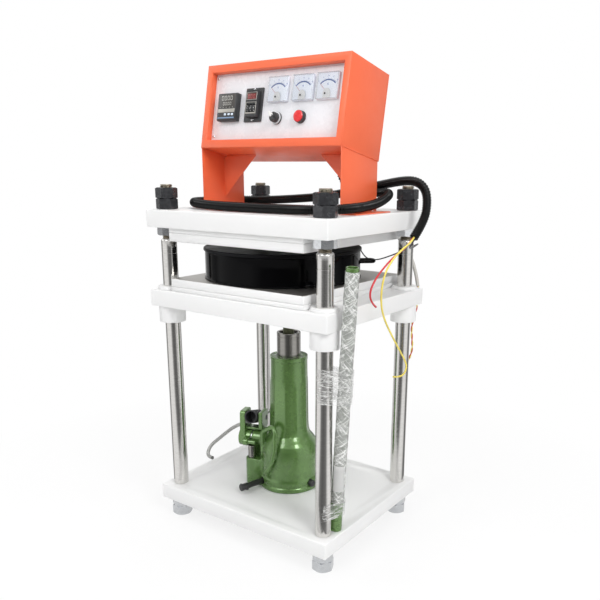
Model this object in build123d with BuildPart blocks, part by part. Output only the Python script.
from build123d import *
from math import cos, radians, sin, sqrt, tan
import os

# Silicone mold vulcanizer: a four-post bench press with heated plates, a bottle jack and a control box.
# X runs across the press, Y from the front (minus) to the back, and Z is up. The origin is on the
# bench, midway between the four feet. Lengths are in millimetres and angles in degrees.

os.makedirs("parts", exist_ok=True)

# Driving sizes of the press frame
plate_width = 420
plate_depth = 336
plate_corner = 2
plate_edge = 1
base_thickness = 30.5
platen_thickness = 32
top_thickness = 33
daylight = 382.9
post_inset_x = 26
post_inset_y = 30.7
post_radius = 15
stud_radius = 12
nut_flats = 36
foot_nut_height = 19.5
top_nut_height = 20
under_nut_height = 16

# Driving sizes of the heaters and of the mold between them
heater_width = 315
heater_depth = 322
heater_thickness = 15.6
backing_thickness = 9
mold_radius = 150
mold_height = 59
mold_headroom = 11

# Driving sizes of the control box
box_half_width = 162.7
box_face_height = 153
box_depth = 126
box_lean = 11
box_front_y = -63
box_front_z = 750
sheet = 1.5
leg_sheet = 2

# Driving sizes of the jack, which stands turned on the base plate
jack_turn = 19
jack_column_radius = 37.5
ram_radius = 23.9
lever_height = 160
lever_side = 54

# Clearances: a face joint, a running fit, a hole round a stud and a free gap
face_joint = 0.05
running = 0.05
slip = 0.1
free_gap = 0.3
overrun = 5

# Places of the posts and heights of the stack
post_spacing_x = plate_width - 2 * post_inset_x
post_spacing_y = plate_depth - 2 * post_inset_y
base_bottom = 2 * foot_nut_height
base_top = base_bottom + base_thickness
platen_bottom = base_top + daylight
platen_top = platen_bottom + platen_thickness
lower_heater_bottom = platen_top + backing_thickness
lower_heater_top = lower_heater_bottom + heater_thickness
mold_top = lower_heater_top + mold_height
upper_heater_bottom = mold_top + mold_headroom
upper_heater_top = upper_heater_bottom + heater_thickness
top_bottom = upper_heater_top + backing_thickness
top_top = top_bottom + top_thickness


def at_corners():
    """The four post positions, seen from above."""
    return GridLocations(post_spacing_x, post_spacing_y, 2, 2)


def hex_nut(flats, height, bore):
    """A chamfered hex nut standing on the XY plane."""
    corner = flats / 2 / cos(radians(30))
    bevel = (corner - flats / 2) * tan(radians(30))
    with BuildPart() as nut:
        with BuildSketch():
            RegularPolygon(flats / 2, 6, major_radius=False)
        extrude(amount=height)
        with BuildSketch(Plane.XZ):
            with BuildLine():
                Polyline(
                    (0, 0), (flats / 2, 0), (corner, bevel), (corner, height - bevel),
                    (flats / 2, height), (0, height), close=True,
                )
            make_face()
        revolve(axis=Axis.Z, mode=Mode.INTERSECT)
        if bore > 0:
            with BuildSketch():
                Circle(bore)
            extrude(amount=height, mode=Mode.SUBTRACT)
    return nut.part


def plate(bottom, thickness, hole_radius):
    """A bored press plate with broken edges."""
    with BuildPart() as body:
        with BuildSketch(Plane.XY.offset(bottom)):
            RectangleRounded(plate_width, plate_depth, plate_corner)
        extrude(amount=thickness)
        chamfer(body.faces().sort_by(Axis.Z)[-1].edges(), length=plate_edge)
        chamfer(body.faces().sort_by(Axis.Z)[0].edges(), length=plate_edge)
        with BuildSketch(Plane.XY.offset(bottom)):
            with at_corners():
                Circle(hole_radius)
        extrude(amount=thickness, mode=Mode.SUBTRACT)
    return body.part


def bend_radii(points):
    """Radii for a cord's bends: each bend takes up to 0.45 of the shorter run beside it."""
    bend_share = 0.45
    route = [Vector(*point) for point in points]
    radii = []
    for before, here, after in zip(route, route[1:], route[2:]):
        turn = (here - before).get_angle(after - here)
        shorter = min((here - before).length, (after - here).length)
        radii.append(bend_share * shorter / tan(radians(turn / 2)))
    return radii


def cord_part(name, points, radius):
    """A round cord along straight runs joined by arcs."""
    radii = bend_radii(points)
    print(name, "bend radii", [round(r) for r in radii])
    with BuildPart() as cord:
        with BuildLine() as line:
            FilletPolyline(*points, radius=radii)
        with BuildSketch(Plane(origin=line.line @ 0, z_dir=line.line % 0)):
            Circle(radius)
        sweep()
    print(name, "length", round(sum(edge.length for edge in line.edges())))
    return cord.part


# Press frame: base plate, posts and nuts
stud_hole = stud_radius + slip
with BuildPart() as base_plate:
    add(plate(base_bottom, base_thickness, stud_hole))
base_plate.part.label = "base_plate"
export_step(base_plate.part, "parts/base_plate.step")

foot_recess = 8
stud_end = 5.7
stud_tip = 1.5
shoulder_gap = 6.6
post_chamfer = 3
groove_drop = 26.7
groove_width = 2
groove_depth = 0.4
post_top = top_bottom - under_nut_height - shoulder_gap
stud_top = top_top + 2 * top_nut_height + stud_end
groove_z = post_top - groove_drop
with BuildPart() as post:
    with BuildSketch(Plane.XZ):
        with BuildLine():
            Polyline(
                (0, foot_recess),
                (stud_radius - stud_tip, foot_recess),
                (stud_radius, foot_recess + stud_tip),
                (stud_radius, base_top),
                (post_radius, base_top),
                (post_radius, groove_z - groove_width / 2),
                (post_radius - groove_depth, groove_z - groove_width / 2),
                (post_radius - groove_depth, groove_z + groove_width / 2),
                (post_radius, groove_z + groove_width / 2),
                (post_radius, post_top - post_chamfer),
                (stud_radius, post_top),
                (stud_radius, stud_top - stud_tip),
                (stud_radius - stud_tip, stud_top),
                (0, stud_top),
                close=True,
            )
        make_face()
    revolve(axis=Axis.Z)
with BuildPart() as guide_posts:
    with at_corners():
        add(post.part)
guide_posts.part.label = "guide_posts"
export_step(guide_posts.part, "parts/guide_posts.step")

foot_nut = hex_nut(nut_flats, foot_nut_height - face_joint, stud_hole)
with BuildPart() as foot_nuts:
    for nut_bottom in (0, foot_nut_height + face_joint):
        with Locations((0, 0, nut_bottom)):
            with at_corners():
                add(foot_nut)
foot_nuts.part.label = "foot_nuts"
export_step(foot_nuts.part, "parts/foot_nuts.step")

with BuildPart() as under_nuts:
    with Locations((0, 0, top_bottom - under_nut_height)):
        with at_corners():
            add(hex_nut(nut_flats, under_nut_height, stud_hole))
under_nuts.part.label = "under_nuts"
export_step(under_nuts.part, "parts/under_nuts.step")

with BuildPart() as top_plate:
    add(plate(top_bottom, top_thickness, stud_hole))
top_plate.part.label = "top_plate"
export_step(top_plate.part, "parts/top_plate.step")

top_nut = hex_nut(nut_flats, top_nut_height - face_joint, stud_hole)
with BuildPart() as top_nuts:
    for nut_bottom in (top_top, top_top + top_nut_height):
        with Locations((0, 0, nut_bottom)):
            with at_corners():
                add(top_nut)
top_nuts.part.label = "top_nuts"
export_step(top_nuts.part, "parts/top_nuts.step")

# Platen with its guide sleeves
sleeve_drop = 32.9
sleeve_radius = 25.5
sleeve_neck = 22
sleeve_edge = 1
ring_height = 6.4
ring_step_height = 3.1
ring_radius = 25.6
ring_step = 1.6
ring_bore_gap = 0.5
with BuildPart() as platen:
    add(plate(platen_bottom, platen_thickness, sleeve_neck))
platen.part.label = "platen"
export_step(platen.part, "parts/platen.step")

sleeve_bore = post_radius + running
with BuildPart() as sleeve:
    with BuildSketch(Plane.XZ):
        with BuildLine():
            Polyline(
                (sleeve_bore, platen_bottom - sleeve_drop),
                (sleeve_radius - sleeve_edge, platen_bottom - sleeve_drop),
                (sleeve_radius, platen_bottom - sleeve_drop + sleeve_edge),
                (sleeve_radius, platen_bottom),
                (sleeve_neck, platen_bottom),
                (sleeve_neck, platen_top),
                (sleeve_bore, platen_top),
                close=True,
            )
        make_face()
    revolve(axis=Axis.Z)
    with BuildSketch(Plane.XZ):
        with BuildLine():
            Polyline(
                (post_radius + ring_bore_gap, platen_top + face_joint),
                (ring_radius, platen_top + face_joint),
                (ring_radius, platen_top + ring_step_height),
                (ring_radius - ring_step, platen_top + ring_step_height),
                (ring_radius - ring_step, platen_top + ring_height),
                (post_radius + ring_bore_gap, platen_top + ring_height),
                close=True,
            )
        make_face()
    revolve(axis=Axis.Z)
with BuildPart() as guide_sleeves:
    with at_corners():
        add(sleeve.part)
guide_sleeves.part.label = "guide_sleeves"
export_step(guide_sleeves.part, "parts/guide_sleeves.step")


# Heaters: a backing plate and a heater plate above and below the mold
def heater_slab(bottom, thickness):
    """One rectangular slab of a heater."""
    with BuildPart() as slab:
        with BuildSketch(Plane.XY.offset(bottom)):
            Rectangle(heater_width, heater_depth)
        extrude(amount=thickness)
    return slab.part


with BuildPart() as lower_backing_plate:
    add(heater_slab(platen_top, backing_thickness))
lower_backing_plate.part.label = "lower_backing_plate"
export_step(lower_backing_plate.part, "parts/lower_backing_plate.step")

with BuildPart() as lower_heater_plate:
    add(heater_slab(lower_heater_bottom, heater_thickness))
lower_heater_plate.part.label = "lower_heater_plate"
export_step(lower_heater_plate.part, "parts/lower_heater_plate.step")

with BuildPart() as upper_heater_plate:
    add(heater_slab(upper_heater_bottom, heater_thickness))
upper_heater_plate.part.label = "upper_heater_plate"
export_step(upper_heater_plate.part, "parts/upper_heater_plate.step")

with BuildPart() as upper_backing_plate:
    add(heater_slab(upper_heater_top, backing_thickness))
upper_backing_plate.part.label = "upper_backing_plate"
export_step(upper_backing_plate.part, "parts/upper_backing_plate.step")

# Mold: a round pan with a lid, both with a lug, and two silicone discs inside
mold_x = -6
mold_y = -8
mold_wall = 25
mold_floor = 8
lid_thickness = 6
lid_edge = 3
bead_height = 4
bead_out = 2
lug_reach = 185
lug_width = 26
lug_corner = 6
lug_thickness = 10
lid_lug_turn = 45
pan_lug_turn = -35
disc_gap = 2
lid_bottom = mold_top - lid_thickness
pan_height = lid_bottom - lower_heater_top
pan_lug_bottom = lower_heater_top + bead_height
lid_lug_bottom = lid_bottom - 3 * lug_thickness


def lug(bottom, turn):
    """A flat radial lug that starts inside the mold's wall."""
    inner = mold_radius - mold_wall / 2
    with BuildPart() as body:
        with BuildSketch(Plane.XY.offset(bottom)):
            with Locations((mold_x, mold_y)):
                with PolarLocations(0, 1, start_angle=turn):
                    with Locations(((inner + lug_reach) / 2, 0)):
                        RectangleRounded(lug_reach - inner, lug_width, lug_corner)
        extrude(amount=lug_thickness)
    return body.part


with BuildPart() as mold_pan:
    with BuildSketch(Plane.XY.offset(lower_heater_top)):
        with Locations((mold_x, mold_y)):
            Circle(mold_radius)
    extrude(amount=pan_height - face_joint)
    with BuildSketch(Plane.XY.offset(lower_heater_top)):
        with Locations((mold_x, mold_y)):
            Circle(mold_radius + bead_out)
    extrude(amount=bead_height)
    add(lug(pan_lug_bottom, pan_lug_turn))
    add(lug(lid_lug_bottom, lid_lug_turn))
    with BuildSketch(Plane.XY.offset(lower_heater_top + mold_floor)):
        with Locations((mold_x, mold_y)):
            Circle(mold_radius - mold_wall)
    extrude(amount=pan_height, mode=Mode.SUBTRACT)
mold_pan.part.label = "mold_pan"
export_step(mold_pan.part, "parts/mold_pan.step")

with BuildPart() as mold_lid:
    with BuildSketch(Plane.XY.offset(lid_bottom)):
        with Locations((mold_x, mold_y)):
            Circle(mold_radius)
    extrude(amount=lid_thickness)
    fillet(mold_lid.faces().sort_by(Axis.Z)[-1].edges(), radius=lid_edge)
mold_lid.part.label = "mold_lid"
export_step(mold_lid.part, "parts/mold_lid.step")

disc_height = (lid_bottom - face_joint - lower_heater_top - mold_floor - face_joint) / 2
with BuildPart() as silicone_discs:
    for disc_bottom in (0, disc_height + face_joint):
        with BuildSketch(Plane.XY.offset(lower_heater_top + mold_floor + disc_bottom)):
            with Locations((mold_x, mold_y)):
                Circle(mold_radius - mold_wall - disc_gap)
        extrude(amount=disc_height - face_joint)
silicone_discs.part.label = "silicone_discs"
export_step(silicone_discs.part, "parts/silicone_discs.step")

# Bottle jack, drawn in its own turned frame: its lever side is at minus X, its front at minus Y
jack_top_plane = Plane.XY.rotated((0, 0, jack_turn))
jack_side_plane = Plane.YZ.rotated((0, 0, jack_turn))
jack_flange_radius = 64.5
jack_flange_height = 10.5
jack_body_radius = 61
jack_body_top = 158
jack_shoulder_top = 183
column_foot_radius = 40
column_top = 340.8
collar_height = 7.8
collar_over = 0.6
collar_plug = 12
cylinder_wall = 5.5
cylinder_floor = 110
spanner_hole = 2
boss_radius = 19
boss_outer = 79
boss_inner = 30
pin_radius = 9
plunger_radius = 8
plunger_side = 73
plunger_front = 28
pump_boss_radius = 13
pump_boss_top = 128
swing_relief = 42
bow_radius = 5
bow_bend = 12
bow_points = [
    (-46, -34, 120), (-46, -38, 190), (-12, -52, 214), (-8, -67, 166), (-14, -68, 140), (-28, -62, 112),
    (-28, -50, 108),
]
valve_radius = 6
valve_height = 84
valve_turn = 256.7
valve_x = -28
valve_y = -54
valve_depth = 25
plug_turn = -8
plug_height = 86
plug_radius = 7
plug_out = 70
plug_inner = 50
bore_radius = jack_column_radius - cylinder_wall


def heading(turn):
    """A level direction, turned from X toward Y."""
    return cos(radians(turn)), sin(radians(turn)), 0


valve_plane = Plane(origin=(valve_x, valve_y, valve_height), z_dir=heading(valve_turn))
plug_plane = Plane(origin=(0, 0, plug_height), z_dir=heading(plug_turn))

with BuildPart() as jack_body:
    with BuildSketch(Plane.XZ):
        with BuildLine():
            Polyline(
                (0, base_top),
                (jack_flange_radius, base_top),
                (jack_flange_radius, base_top + jack_flange_height),
                (jack_body_radius, base_top + jack_flange_height),
                (jack_body_radius, jack_body_top),
                (column_foot_radius, jack_shoulder_top),
                (jack_column_radius, column_top),
                (0, column_top),
                close=True,
            )
        make_face()
    revolve(axis=Axis.Z)
    with BuildSketch(jack_side_plane.offset(-lever_side)):
        with Locations((0, lever_height)):
            Circle(swing_relief)
    extrude(amount=-jack_body_radius, mode=Mode.SUBTRACT)
    with BuildSketch(jack_side_plane.offset(-boss_inner)):
        with Locations((0, lever_height)):
            Circle(boss_radius)
    extrude(amount=boss_inner - boss_outer)
    with BuildSketch(jack_top_plane.offset(base_top)):
        with Locations((-plunger_side, -plunger_front)):
            Circle(pump_boss_radius)
        with Locations((-plunger_side / 2, -plunger_front)):
            Rectangle(plunger_side, 2 * pump_boss_radius)
        with Locations((-(boss_inner + boss_outer) / 2, 0)):
            Rectangle(boss_outer - boss_inner, 2 * pump_boss_radius)
    extrude(amount=pump_boss_top - base_top)
    with BuildSketch(jack_top_plane.offset(pump_boss_top)):
        with Locations((-(boss_inner + boss_outer) / 2, 0)):
            Rectangle(boss_outer - boss_inner, 2 * pump_boss_radius)
    extrude(amount=lever_height - pump_boss_top)
    with BuildLine(jack_top_plane) as bow_line:
        FilletPolyline(*bow_points, radius=bow_bend)
    with BuildSketch(Plane(origin=bow_line.line @ 0, z_dir=bow_line.line % 0)):
        Circle(bow_radius)
    sweep(path=bow_line.line)
    with BuildSketch(jack_top_plane.offset(cylinder_floor)):
        Circle(bore_radius)
    extrude(amount=column_top - cylinder_floor, mode=Mode.SUBTRACT)
    with BuildSketch(jack_side_plane.offset(-boss_inner - pin_radius)):
        with Locations((0, lever_height)):
            Circle(pin_radius)
    extrude(amount=boss_inner + pin_radius - boss_outer, mode=Mode.SUBTRACT)
    with BuildSketch(jack_top_plane.offset(base_top + jack_flange_height)):
        with Locations((-plunger_side, -plunger_front)):
            Circle(plunger_radius + running)
    extrude(amount=pump_boss_top - base_top, mode=Mode.SUBTRACT)
    with BuildSketch(valve_plane.offset(-valve_depth)):
        Circle(valve_radius + running)
    extrude(amount=valve_depth + overrun, mode=Mode.SUBTRACT)
    with BuildSketch(plug_plane.offset(plug_inner)):
        Circle(plug_radius)
    extrude(amount=plug_out - plug_inner, mode=Mode.SUBTRACT)
jack_body.part.label = "jack_body"
export_step(jack_body.part, "parts/jack_body.step")

with BuildPart() as jack_collar:
    with BuildSketch(jack_top_plane.offset(column_top)):
        Circle(jack_column_radius + collar_over)
    extrude(amount=collar_height)
    with BuildSketch(jack_top_plane.offset(column_top)):
        Circle(bore_radius)
    extrude(amount=-collar_plug)
    with BuildSketch(jack_top_plane.offset(column_top - collar_plug)):
        Circle(ram_radius + running)
    extrude(amount=collar_plug + collar_height, mode=Mode.SUBTRACT)
    with BuildSketch(jack_top_plane.offset(column_top + collar_height)):
        with PolarLocations((ram_radius + jack_column_radius) / 2, 4):
            Circle(spanner_hole)
    extrude(amount=-collar_height / 2, mode=Mode.SUBTRACT)
jack_collar.part.label = "jack_collar"
export_step(jack_collar.part, "parts/jack_collar.step")

# Ram with its piston; the extension screw in it carries the pressure plate under the platen
ram_out = 56
piston_height = 20
piston_drop = 97
ram_hollow = 18
ram_hollow_depth = 40
ram_lip = 1.5
ram_top = column_top + ram_out
piston_top = ram_top - piston_drop
with BuildPart() as ram:
    with BuildSketch(jack_top_plane.offset(piston_top - piston_height)):
        Circle(bore_radius - running)
    extrude(amount=piston_height)
    with BuildSketch(jack_top_plane.offset(piston_top)):
        Circle(ram_radius)
    extrude(amount=piston_drop)
    with BuildSketch(jack_top_plane.offset(ram_top - ram_hollow_depth)):
        Circle(ram_hollow)
    extrude(amount=ram_hollow_depth, mode=Mode.SUBTRACT)
    chamfer(ram.edges().group_by(Axis.Z)[-1], length=ram_lip)
ram.part.label = "ram"
export_step(ram.part, "parts/ram.step")

pressure_radius = 50
pressure_thickness = 12
screw_stem = 12
with BuildPart() as ram_screw:
    with BuildSketch(jack_top_plane.offset(ram_top - ram_hollow_depth)):
        Circle(ram_hollow)
    extrude(amount=ram_hollow_depth - ram_hollow / 2)
    with BuildSketch(jack_top_plane.offset(ram_top - ram_hollow)):
        Circle(screw_stem)
    extrude(amount=platen_bottom - pressure_thickness - face_joint - ram_top + ram_hollow)
ram_screw.part.label = "ram_screw"
export_step(ram_screw.part, "parts/ram_screw.step")

with BuildPart() as pressure_plate:
    with BuildSketch(jack_top_plane.offset(platen_bottom - pressure_thickness)):
        Circle(pressure_radius)
    extrude(amount=pressure_thickness)
    chamfer(pressure_plate.edges().group_by(Axis.Z)[0], length=plate_edge)
pressure_plate.part.label = "pressure_plate"
export_step(pressure_plate.part, "parts/pressure_plate.step")

# Pump lever: fulcrum pin, yoke, handle socket, its bolt and the plunger
yoke_spacing = 2.6
yoke_side = boss_outer + yoke_spacing
yoke_outer = 108
yoke_cheek_outer = 104
yoke_cheek_inner = 92
yoke_top = 222
yoke_reach = 17
yoke_floor = 181
yoke_floor_thickness = 5
yoke_floor_reach = 10
yoke_corner = 6
inner_cheek_side = 62
socket_radius = 14
socket_bore = 11.3
socket_length = 44
socket_back = 20
socket_bore_depth = 28
socket_tilt = 17
socket_height = 204
bolt_radius = 5
bolt_back = 10
bolt_head_flats = 17
bolt_head_height = 7
arm_radius = 8
nose_radius = 5
nose_gap = 0.7
ring_out = 8
nose_side = plunger_side - plunger_radius
with BuildPart() as fulcrum_pin:
    with BuildSketch(jack_side_plane.offset(-boss_inner - pin_radius)):
        with Locations((0, lever_height)):
            Circle(pin_radius)
    extrude(amount=boss_inner + pin_radius - yoke_outer)
    with BuildSketch(jack_side_plane.offset(-boss_outer)):
        with Locations((0, lever_height)):
            Circle(pin_radius + ring_out)
    extrude(amount=boss_outer - yoke_side + free_gap)
fulcrum_pin.part.label = "fulcrum_pin"
export_step(fulcrum_pin.part, "parts/fulcrum_pin.step")

with BuildPart() as lever_yoke:
    with BuildSketch(jack_side_plane.offset(-yoke_side)):
        with Locations((0, lever_height)):
            Circle(boss_radius)
    extrude(amount=yoke_side - yoke_outer)
    with BuildSketch(jack_side_plane.offset(-yoke_cheek_inner)):
        with BuildLine():
            Polyline(
                (-boss_radius, lever_height), (boss_radius, lever_height), (yoke_reach, yoke_top),
                (-yoke_reach, yoke_top), close=True,
            )
        make_face()
        fillet([corner for corner in vertices() if corner.Y > lever_height + yoke_corner], yoke_corner)
    extrude(amount=yoke_cheek_inner - yoke_cheek_outer)
    with BuildSketch(jack_side_plane.offset(-lever_side)):
        with BuildLine():
            Polyline(
                (-yoke_floor_reach, yoke_floor), (yoke_floor_reach, yoke_floor),
                (yoke_reach, yoke_floor + yoke_corner), (yoke_reach, yoke_top), (-yoke_reach, yoke_top),
                (-yoke_reach, yoke_floor + yoke_corner), close=True,
            )
        make_face()
    extrude(amount=lever_side - inner_cheek_side)
    with BuildSketch(jack_side_plane.offset(-lever_side)):
        with Locations((0, yoke_floor + yoke_floor_thickness / 2)):
            Rectangle(2 * yoke_floor_reach, yoke_floor_thickness)
    extrude(amount=lever_side - yoke_cheek_inner)
    with BuildSketch(jack_side_plane.offset(-yoke_side)):
        with BuildLine():
            Polyline(
                (0, lever_height - arm_radius), (-plunger_front, lever_height - arm_radius),
                (-plunger_front, lever_height + arm_radius), (0, lever_height + arm_radius), close=True,
            )
        make_face()
        with Locations((-plunger_front, lever_height)):
            Circle(arm_radius)
    extrude(amount=yoke_side - yoke_cheek_inner)
    with BuildSketch(jack_side_plane.offset(-nose_side)):
        with Locations((-plunger_front, lever_height)):
            Circle(nose_radius)
    extrude(amount=nose_side - yoke_side)
    with BuildSketch(jack_side_plane.offset(-boss_outer)):
        with Locations((0, lever_height)):
            Circle(pin_radius + running)
    extrude(amount=boss_outer - yoke_outer, mode=Mode.SUBTRACT)
    with BuildSketch(jack_side_plane.offset(-lever_side)):
        with Locations((bolt_back, socket_height)):
            Circle(bolt_radius)
    extrude(amount=lever_side - yoke_cheek_outer, mode=Mode.SUBTRACT)
lever_yoke.part.label = "lever_yoke"
export_step(lever_yoke.part, "parts/lever_yoke.step")

socket_side = (inner_cheek_side + yoke_cheek_inner) / 2
socket_drop = (socket_back - bolt_back) * tan(radians(socket_tilt))
socket_plane = Plane(
    origin=jack_top_plane.from_local_coords((-socket_side, socket_back, socket_height - socket_drop)),
    x_dir=jack_top_plane.x_dir,
    z_dir=jack_top_plane.from_local_coords((0, -cos(radians(socket_tilt)), sin(radians(socket_tilt)))),
)
with BuildPart() as handle_socket:
    with BuildSketch(socket_plane):
        Circle(socket_radius)
    extrude(amount=socket_length)
    with BuildSketch(socket_plane.offset(socket_length)):
        Circle(socket_bore)
    extrude(amount=-socket_bore_depth, mode=Mode.SUBTRACT)
    with BuildSketch(jack_side_plane.offset(-lever_side)):
        with Locations((bolt_back, socket_height)):
            Circle(bolt_radius)
    extrude(amount=lever_side - yoke_cheek_outer, mode=Mode.SUBTRACT)
handle_socket.part.label = "handle_socket"
export_step(handle_socket.part, "parts/handle_socket.step")

with BuildPart() as socket_bolt:
    with BuildSketch(jack_side_plane.offset(-lever_side)):
        with Locations((bolt_back, socket_height)):
            Circle(bolt_radius)
    extrude(amount=lever_side - yoke_cheek_outer)
    with BuildSketch(jack_side_plane.offset(-yoke_cheek_outer)):
        with Locations((bolt_back, socket_height)):
            RegularPolygon(bolt_head_flats / 2, 6, major_radius=False)
    extrude(amount=-bolt_head_height)
socket_bolt.part.label = "socket_bolt"
export_step(socket_bolt.part, "parts/socket_bolt.step")

plunger_bottom = base_top + jack_flange_height + jack_flange_height
plunger_top = lever_height - nose_radius - nose_gap
with BuildPart() as pump_plunger:
    with BuildSketch(jack_top_plane.offset(plunger_bottom)):
        with Locations((-plunger_side, -plunger_front)):
            Circle(plunger_radius)
    extrude(amount=plunger_top - plunger_bottom)
pump_plunger.part.label = "pump_plunger"
export_step(pump_plunger.part, "parts/pump_plunger.step")

# Release valve with its cross pin, and the rubber filler plug
valve_length = 56
valve_tip_radius = 7
valve_tip = 16
cross_radius = 3
cross_half = 12
with BuildPart() as release_valve:
    with BuildSketch(valve_plane.offset(free_gap - valve_depth)):
        Circle(valve_radius)
    extrude(amount=valve_depth - free_gap + valve_length)
    with BuildSketch(valve_plane.offset(valve_length - valve_tip)):
        Circle(valve_tip_radius)
    extrude(amount=valve_tip)
    with BuildSketch(Plane(origin=(valve_plane * Location((0, 0, valve_length - valve_tip / 2))).position,
                           z_dir=valve_plane.x_dir)):
        Circle(cross_radius)
    extrude(amount=cross_half, both=True)
release_valve.part.label = "release_valve"
export_step(release_valve.part, "parts/release_valve.step")

with BuildPart() as filler_plug:
    with BuildSketch(plug_plane.offset(plug_inner)):
        Circle(plug_radius)
    extrude(amount=plug_out - plug_inner)
    chamfer(filler_plug.edges().group_by(Axis.X)[-1], length=plate_edge)
filler_plug.part.label = "filler_plug"
export_step(filler_plug.part, "parts/filler_plug.step")

# Loose pump handle, standing beside the front right post in clear film, with two ties round both
handle_foot = (193, -109.5)
handle_lean_x = 46.2
handle_lean_y = -30.5
handle_length = 494
handle_radius = 11
handle_wall = 2.5
wrap_thickness = 1.6
wrap_start = 60
wrap_length = 428
tie_thickness = 0.8
tie_heights = ((103, 134), (324, 386))
handle_rise = sqrt(handle_length**2 - handle_lean_x**2 - handle_lean_y**2)
handle_lift = handle_radius * sqrt(handle_lean_x**2 + handle_lean_y**2) / handle_length
handle_plane = Plane(
    origin=(*handle_foot, base_top + handle_lift), z_dir=(handle_lean_x, handle_lean_y, handle_rise)
)
with BuildPart() as pump_handle:
    with BuildSketch(handle_plane):
        Circle(handle_radius)
        Circle(handle_radius - handle_wall, mode=Mode.SUBTRACT)
    extrude(amount=handle_length)
pump_handle.part.label = "pump_handle"
export_step(pump_handle.part, "parts/pump_handle.step")


def tie_loft(low, high, grow):
    """A stretched film round the post and the wrapped handle between two heights."""
    with BuildPart() as body:
        for height in (low, high):
            share = (height - base_top - handle_lift) / handle_rise
            handle_x = handle_foot[0] + handle_lean_x * share
            handle_y = handle_foot[1] + handle_lean_y * share
            with BuildSketch(Plane.XY.offset(height)):
                with BuildLine():
                    CenterArc((post_spacing_x / 2, -post_spacing_y / 2), post_radius + grow, 0, 360)
                    CenterArc((handle_x, handle_y), handle_radius + wrap_thickness + grow, 0, 360)
                make_hull()
        loft()
    return body.part


with BuildPart() as handle_wrap:
    with BuildSketch(handle_plane.offset(wrap_start)):
        Circle(handle_radius + wrap_thickness)
        Circle(handle_radius, mode=Mode.SUBTRACT)
    extrude(amount=wrap_length)
    for tie_low, tie_high in tie_heights:
        add(tie_loft(tie_low, tie_high, free_gap + tie_thickness)
            - tie_loft(tie_low, tie_high, free_gap))
handle_wrap.part.label = "handle_wrap"
export_step(handle_wrap.part, "parts/handle_wrap.step")

# Control box: a leaning sheet shell on two legs. Its face plane has X across and Y up the face
opening_rim = 12.7
opening_half_width = box_half_width - opening_rim
opening_low = 14.5
opening_high = 139
panel_recess = 13
panel_thickness = 2
vent_length = 60
vent_width = 3
vent_pitch_x = 160
vent_pitch_y = 10
vent_rows = 8
shell_depth = box_depth - sheet
opening_middle = (opening_low + opening_high) / 2
opening_height = opening_high - opening_low
face_plane = Plane(
    origin=(0, box_front_y, box_front_z), x_dir=(1, 0, 0),
    z_dir=(0, -cos(radians(box_lean)), sin(radians(box_lean))),
)
panel_plane = face_plane.offset(-panel_recess)
with BuildPart() as box_shell:
    with BuildSketch(face_plane):
        with Locations((0, box_face_height / 2)):
            Rectangle(2 * box_half_width, box_face_height)
    extrude(amount=-shell_depth)
    with BuildSketch(face_plane.offset(-sheet)):
        with Locations((0, box_face_height / 2)):
            Rectangle(2 * (box_half_width - sheet), box_face_height - 2 * sheet)
    extrude(amount=-shell_depth, mode=Mode.SUBTRACT)
    with BuildSketch(face_plane):
        with Locations((0, opening_middle)):
            Rectangle(2 * (opening_half_width + sheet), opening_height + 2 * sheet)
    extrude(amount=-panel_recess - panel_thickness)
    with BuildSketch(face_plane):
        with Locations((0, opening_middle)):
            Rectangle(2 * opening_half_width, opening_height)
    extrude(amount=-panel_recess - panel_thickness, mode=Mode.SUBTRACT)
box_shell.part.label = "box_shell"
export_step(box_shell.part, "parts/box_shell.step")

with BuildPart() as back_cover:
    with BuildSketch(face_plane.offset(-shell_depth)):
        with Locations((0, box_face_height / 2)):
            Rectangle(2 * box_half_width, box_face_height)
            with GridLocations(vent_pitch_x, vent_pitch_y, 2, vent_rows):
                SlotOverall(vent_length, vent_width, mode=Mode.SUBTRACT)
    extrude(amount=-sheet)
back_cover.part.label = "back_cover"
export_step(back_cover.part, "parts/back_cover.step")

with BuildPart() as control_panel:
    with BuildSketch(panel_plane):
        with Locations((0, opening_middle)):
            Rectangle(2 * opening_half_width, opening_height)
    extrude(amount=-panel_thickness)
control_panel.part.label = "control_panel"
export_step(control_panel.part, "parts/control_panel.step")

leg_front = -61
leg_back = 57
flange_width = 30.3
flange_out = box_half_width + flange_width
gusset_low = 657
gusset_length = 85.7
gusset_reach = box_half_width - gusset_length
gusset_notch = 8
leg_inner = box_half_width - leg_sheet


def box_underside(y):
    """Height of the box's underside at a place along Y."""
    return box_front_z - (y - box_front_y) * tan(radians(box_lean))


gusset_top = box_underside(leg_sheet / 2)
with BuildPart() as legs:
    with BuildSketch(Plane.YZ.offset(box_half_width)):
        with BuildLine():
            Polyline(
                (leg_front, top_top), (leg_back, top_top), (leg_back, box_underside(leg_back)),
                (leg_front, box_underside(leg_front)), close=True,
            )
        make_face()
    extrude(amount=-leg_sheet)
    with BuildSketch(Plane.XY.offset(top_top)):
        with Locations(((leg_inner + flange_out) / 2, (leg_front + leg_back) / 2)):
            Rectangle(flange_out - leg_inner, leg_back - leg_front)
    extrude(amount=leg_sheet)
    with BuildSketch(Plane.XZ):
        with BuildLine():
            Polyline(
                (leg_inner, gusset_low), (leg_inner, gusset_top - gusset_notch),
                (leg_inner - gusset_notch, gusset_top), (gusset_reach, gusset_top), close=True,
            )
        make_face()
    extrude(amount=leg_sheet / 2, both=True)
    mirror(about=Plane.YZ)
legs.part.label = "legs"
export_step(legs.part, "parts/legs.step")

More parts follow.
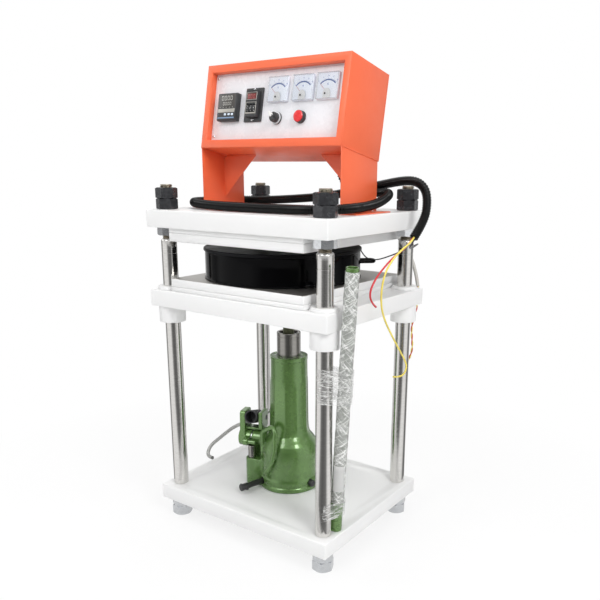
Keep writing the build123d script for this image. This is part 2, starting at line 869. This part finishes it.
# Instruments on the panel: places are given across the panel and up it
controller_share = -0.71
controller_x = controller_share * opening_half_width
controller_y = 75
controller_width = 47
controller_height = 50
controller_proud = 12.5
window_thickness = 1
window_width = 31
window_height = 19.4
window_x = controller_x - 2
window_y = 87.3
key_width = 5.4
key_height = 4
key_y = 61
key_places = [controller_x + key_offset for key_offset in (-19.3, -2.1, 7.1, 15.5)]
key_depth = 6
key_out = 1.2
key_travel = 1
timer_share = -0.3067
timer_x = timer_share * opening_half_width
timer_flange_x = timer_x - 2.5
timer_flange_y = 78.1
timer_flange_width = 41
timer_flange_height = 60.6
timer_flange_proud = 3
timer_y = 78.5
timer_width = 26
timer_height = 47
timer_proud = 13
display_width = 22.5
display_height = 11.5
display_x = timer_x + 0.8
display_y = 90.8
wheel_y = 69.5
wheel_radius = 7
wheel_width = 6.6
wheel_pitch = 8
wheel_out = 1.3
axle_radius = 1
wheel_slot = wheel_width + 2 * free_gap
wheel_centre = timer_proud + wheel_out - wheel_radius
wheel_places = [timer_x + wheel_pitch * step for step in (-1, 0, 1)]


def panel_box(x, y, width, height, low, high):
    """A block on the panel between two heights above it."""
    with BuildPart() as block:
        with BuildSketch(panel_plane.offset(low)):
            with Locations((x, y)):
                Rectangle(width, height)
        extrude(amount=high - low)
    return block.part


def panel_round(x, y, radius, low, high):
    """A round boss on the panel between two heights above it."""
    with BuildPart() as boss:
        with BuildSketch(panel_plane.offset(low)):
            with Locations((x, y)):
                Circle(radius)
        extrude(amount=high - low)
    return boss.part


def panel_axle(x, y, lift, radius, length):
    """A shaft along the panel's width, centred at a place above the panel."""
    centre = panel_plane.from_local_coords((x, y, lift))
    with BuildPart() as shaft:
        with BuildSketch(Plane(origin=centre, z_dir=panel_plane.x_dir)):
            Circle(radius)
        extrude(amount=length / 2, both=True)
    return shaft.part


case_key_depth = key_depth + key_travel + free_gap
with BuildPart() as controller_case:
    add(panel_box(controller_x, controller_y, controller_width, controller_height, 0, controller_proud))
    add(panel_box(window_x, window_y, window_width, window_height,
                  controller_proud - window_thickness, controller_proud), mode=Mode.SUBTRACT)
    for key_x in key_places:
        add(panel_box(key_x, key_y, key_width + 2 * free_gap, key_height + 2 * free_gap,
                      controller_proud - case_key_depth, controller_proud), mode=Mode.SUBTRACT)
controller_case.part.label = "controller_case"
export_step(controller_case.part, "parts/controller_case.step")

for key_number, key_x in enumerate(key_places, start=1):
    with BuildPart() as controller_key:
        add(panel_box(key_x, key_y, key_width, key_height, controller_proud - key_depth,
                      controller_proud + key_out))
    controller_key.part.label = f"controller_key_{key_number}"
    export_step(controller_key.part, f"parts/controller_key_{key_number}.step")

with BuildPart() as timer_case:
    add(panel_box(timer_flange_x, timer_flange_y, timer_flange_width, timer_flange_height, 0,
                  timer_flange_proud))
    add(panel_box(timer_x, timer_y, timer_width, timer_height, 0, timer_proud))
    add(panel_box(display_x, display_y, display_width, display_height,
                  timer_proud - window_thickness, timer_proud), mode=Mode.SUBTRACT)
    for wheel_x in wheel_places:
        add(panel_box(wheel_x, wheel_y, wheel_slot, 2 * (wheel_radius + free_gap), 0, timer_proud),
            mode=Mode.SUBTRACT)
    add(panel_axle(timer_x, wheel_y, wheel_centre, axle_radius, timer_width))
timer_case.part.label = "timer_case"
export_step(timer_case.part, "parts/timer_case.step")

for wheel_number, wheel_x in enumerate(wheel_places, start=1):
    with BuildPart() as thumbwheel:
        add(panel_axle(wheel_x, wheel_y, wheel_centre, wheel_radius, wheel_width))
        add(panel_axle(wheel_x, wheel_y, wheel_centre, axle_radius + running, wheel_width),
            mode=Mode.SUBTRACT)
    thumbwheel.part.label = f"timer_thumbwheel_{wheel_number}"
    export_step(thumbwheel.part, f"parts/timer_thumbwheel_{wheel_number}.step")

with BuildPart() as display_windows:
    add(panel_box(window_x, window_y, window_width, window_height,
                  controller_proud - window_thickness, controller_proud))
    add(panel_box(display_x, display_y, display_width, display_height,
                  timer_proud - window_thickness, timer_proud))
display_windows.part.label = "display_windows"
export_step(display_windows.part, "parts/display_windows.step")

# Three panel meters: case, clear cover and a needle on a pivot
meter_size = 44
meter_height = 102.5
meter_shares = (0.05, 0.42, 0.77)
meter_places = [(meter_share * opening_half_width, meter_height) for meter_share in meter_shares]
meter_base = 5
meter_proud = 8
cover_wall = 1
pivot_drop = 12
pivot_radius = 1
pivot_depth = 2.5
needle_lift = 0.4
needle_thickness = 0.6
needle_length = 22
needle_width = 0.8
needle_hub = 2.2
needle_turn = 45
with BuildPart() as meter_cases:
    for meter_x, meter_y in meter_places:
        add(panel_box(meter_x, meter_y, meter_size, meter_size, 0, meter_base))
        add(panel_round(meter_x, meter_y - pivot_drop, pivot_radius + running,
                        meter_base - pivot_depth, meter_base), mode=Mode.SUBTRACT)
meter_cases.part.label = "meter_cases"
export_step(meter_cases.part, "parts/meter_cases.step")

with BuildPart() as meter_covers:
    for meter_x, meter_y in meter_places:
        add(panel_box(meter_x, meter_y, meter_size, meter_size, meter_base, meter_proud))
        add(panel_box(meter_x, meter_y, meter_size - 2 * cover_wall, meter_size - 2 * cover_wall,
                      meter_base, meter_proud - cover_wall), mode=Mode.SUBTRACT)
meter_covers.part.label = "meter_covers"
export_step(meter_covers.part, "parts/meter_covers.step")

for meter_number, (meter_x, meter_y) in enumerate(meter_places, start=1):
    needle_low = meter_base + needle_lift
    with BuildPart() as needle:
        add(panel_round(meter_x, meter_y - pivot_drop, pivot_radius,
                        meter_base - pivot_depth + needle_lift, needle_low))
        add(panel_round(meter_x, meter_y - pivot_drop, needle_hub, needle_low,
                        needle_low + needle_thickness))
        with BuildSketch(panel_plane.offset(needle_low)):
            with Locations((meter_x, meter_y - pivot_drop)):
                with PolarLocations(0, 1, start_angle=90 + needle_turn):
                    with Locations((needle_length / 2, 0)):
                        Rectangle(needle_length, needle_width)
        extrude(amount=needle_thickness)
    needle.part.label = f"meter_needle_{meter_number}"
    export_step(needle.part, f"parts/meter_needle_{meter_number}.step")

# Selector switch and pilot lamp
selector_share = 0.0533
selector_x = selector_share * opening_half_width
selector_y = 52.9
lamp_share = 0.4133
lamp_x = lamp_share * opening_half_width
lamp_y = 53
bezel_radius = 11
bezel_proud = 4
selector_bore = 4
knob_radius = 9
knob_body = 8
knob_grip = 7
knob_grip_width = 6
lens_radius = 8.2
lens_proud = 11
with BuildPart() as bezel_rings:
    add(panel_round(selector_x, selector_y, bezel_radius, 0, bezel_proud))
    add(panel_round(selector_x, selector_y, selector_bore + running, 0, bezel_proud), mode=Mode.SUBTRACT)
    add(panel_round(lamp_x, lamp_y, bezel_radius, 0, bezel_proud))
    add(panel_round(lamp_x, lamp_y, lens_radius, 0, bezel_proud), mode=Mode.SUBTRACT)
bezel_rings.part.label = "bezel_rings"
export_step(bezel_rings.part, "parts/bezel_rings.step")

knob_low = bezel_proud + free_gap
with BuildPart() as selector_knob:
    add(panel_round(selector_x, selector_y, selector_bore, free_gap, knob_low))
    add(panel_round(selector_x, selector_y, knob_radius, knob_low, knob_low + knob_body))
    add(panel_box(selector_x, selector_y, knob_grip_width, 2 * knob_radius, knob_low + knob_body,
                  knob_low + knob_body + knob_grip))
selector_knob.part.label = "selector_knob"
export_step(selector_knob.part, "parts/selector_knob.step")

with BuildPart() as pilot_lens:
    add(panel_round(lamp_x, lamp_y, lens_radius, 0, lens_proud))
    fillet(pilot_lens.edges().group_by(Axis.Y)[0], radius=lens_radius / 3)
pilot_lens.part.label = "pilot_lens"
export_step(pilot_lens.part, "parts/pilot_lens.step")

# Screws of the panel, the timer, the meters' zero points, the back cover and the feet of the legs
screw_radius = 2.6
screw_head = 1.6
panel_screw_x = opening_half_width - 6
panel_screw_low = 24
panel_screw_high = 131
timer_screws = ((timer_flange_x, 106.2), (timer_flange_x, 51.5))
zero_screw_drop = 13.6
zero_screws = [(meter_x - 2.5, meter_y - zero_screw_drop) for meter_x, meter_y in meter_places]
cover_screw_edge = 8
foot_screw_x = box_half_width + 4.8
foot_screw_y = 35
with BuildPart() as box_screws:
    for screw_y in (panel_screw_low, panel_screw_high):
        for screw_x in (-panel_screw_x, panel_screw_x):
            add(panel_round(screw_x, screw_y, screw_radius, 0, screw_head))
    for screw_x, screw_y in timer_screws:
        add(panel_round(screw_x, screw_y, screw_head, timer_flange_proud, timer_flange_proud + screw_head))
    for screw_x, screw_y in zero_screws:
        add(panel_round(screw_x, screw_y, screw_head, meter_proud, meter_proud + screw_head / 2))
    with BuildSketch(face_plane.offset(-box_depth)):
        with Locations((0, box_face_height / 2)):
            with GridLocations(2 * (box_half_width - cover_screw_edge),
                               box_face_height - 2 * cover_screw_edge, 2, 2):
                Circle(screw_radius)
    extrude(amount=-screw_head)
    with BuildSketch(Plane.XY.offset(top_top + leg_sheet)):
        with GridLocations(2 * foot_screw_x, 2 * foot_screw_y, 2, 2):
            Circle(screw_radius)
    extrude(amount=screw_head)
box_screws.part.label = "box_screws"
export_step(box_screws.part, "parts/box_screws.step")

# Conduit from the gland behind the right leg, round both legs, over the back corner and down
conduit_radius = 8.7
conduit_points = [
    (105, 21.6, 715.2), (105, 14.7, 679.8), (132, 74, 668), (166, 84, 671), (185, 68, 668),
    (185, 30, 654), (183, -20, 648.5), (190, -62, 648.5), (176, -98, 647), (140, -117, 645.8),
    (86, -123, 645.7), (10, -125, 645.7), (-70, -119, 645.8), (-136, -105, 647), (-173, -82, 648.5),
    (-183, -38, 648.5), (-183, 20, 648.5), (-177, 58, 648.5), (-156, 86, 648), (-112, 91, 649),
    (-50, 91, 653), (20, 92, 659), (90, 91, 671), (150, 92, 684), (202, 92, 693.5), (229, 93, 691),
    (245, 93, 676), (249, 92, 650), (247, 86, 622), (240, 61, 593),
]
gland_flats = 26
gland_nut = 7
gland_radius = 11
gland_up = (0, sin(radians(box_lean)), cos(radians(box_lean)))
gland_start = Vector(*conduit_points[0])
gland_length = (box_underside(gland_start.Y) - gland_start.Z) * cos(radians(box_lean))
gland_plane = Plane(origin=gland_start, z_dir=gland_up)
with BuildPart() as conduit_gland:
    with BuildSketch(gland_plane):
        Circle(gland_radius)
    extrude(amount=gland_length)
    with BuildSketch(gland_plane.offset(gland_length)):
        RegularPolygon(gland_flats / 2, 6, major_radius=False)
    extrude(amount=-gland_nut)
conduit_gland.part.label = "conduit_gland"
export_step(conduit_gland.part, "parts/conduit_gland.step")

conduit = cord_part("conduit", conduit_points, conduit_radius)
conduit.label = "conduit"
export_step(conduit, "parts/conduit.step")

# Wires that hang from the open end of the conduit
wire_radius = 1.7
yellow_points = [
    (242.46, 58.43, 594.62), (240.3, 50.7, 585.7), (239.5, 21, 576), (239, -9, 563), (239, -37, 541),
    (239, -48, 511), (239, -46, 482), (239, -31, 454), (239, 2, 416), (239, 30, 386), (239, 48, 367),
    (239, 57, 352), (239, 49, 339), (239, 27, 338), (239, 6, 344),
]
yellow_wire = cord_part("yellow wire", yellow_points, wire_radius)
yellow_wire.label = "yellow_wire"
export_step(yellow_wire, "parts/yellow_wire.step")

red_points = [
    (237.54, 62.05, 592.69), (235.4, 54.3, 583.7), (235, 30, 573), (235, 3, 566), (235, -31, 551),
    (235, -62, 533), (235, -80, 512), (235, -73, 494), (235, -57, 484),
]
red_wire = cord_part("red wire", red_points, wire_radius)
red_wire.label = "red_wire"
export_step(red_wire, "parts/red_wire.step")

probe_radius = 1.3
probe_points = [
    (32, 161, 587), (32, 177, 587), (39, 187, 568), (52, 184, 544), (72, 180, 529), (96, 180, 530),
    (122, 180, 539), (150, 180, 551), (176, 177, 563), (200, 158, 572), (218, 120, 575), (227, 80, 572),
    (233, 59, 574.5), (238, 57.7, 581.5), (240, 64.79, 589.74),
]
probe_lead = cord_part("probe lead", probe_points, probe_radius)
probe_lead.label = "probe_lead"
export_step(probe_lead, "parts/probe_lead.step")

# Leads of the two heaters
heater_lead_radius = 3.5
upper_lead_points = [
    (130, 161, 587), (130, 188, 587), (142, 202, 567), (165, 196, 541), (181, 184, 520),
    (190, 180, 497), (192, 180, 484),
]
upper_heater_lead = cord_part("upper heater lead", upper_lead_points, heater_lead_radius)
upper_heater_lead.label = "upper_heater_lead"
export_step(upper_heater_lead, "parts/upper_heater_lead.step")

wire_pair_radius = 2.3
wire_pair_points = [
    (192, 180, 484), (194, 180, 470), (193, 180, 446), (188, 180, 424), (182, 180, 403),
    (183, 180, 380), (186, 180, 358), (183, 180, 338), (177, 180, 324),
]
heater_wire_pair = cord_part("heater wire pair", wire_pair_points, wire_pair_radius)
heater_wire_pair.label = "heater_wire_pair"
export_step(heater_wire_pair, "parts/heater_wire_pair.step")

lower_lead_radius = 4
lower_lead_points = [
    (-120, 161, 501), (-120, 196, 501), (-120, 215, 470), (-116, 205, 420), (-106, 165, 368),
    (-98, 125, 316), (-91, 98, 262), (-90, 76, 212), (-108, 52, 178), (-140, 30, 164),
    (-172, 20, 148), (-201, 21, 125), (-230, 21, 100), (-247, 17, 84), (-250, 8, 69),
    (-238, -1, 63), (-222, -5, 66),
]
lower_heater_lead = cord_part("lower heater lead", lower_lead_points, lower_lead_radius)
lower_heater_lead.label = "lower_heater_lead"
export_step(lower_heater_lead, "parts/lower_heater_lead.step")
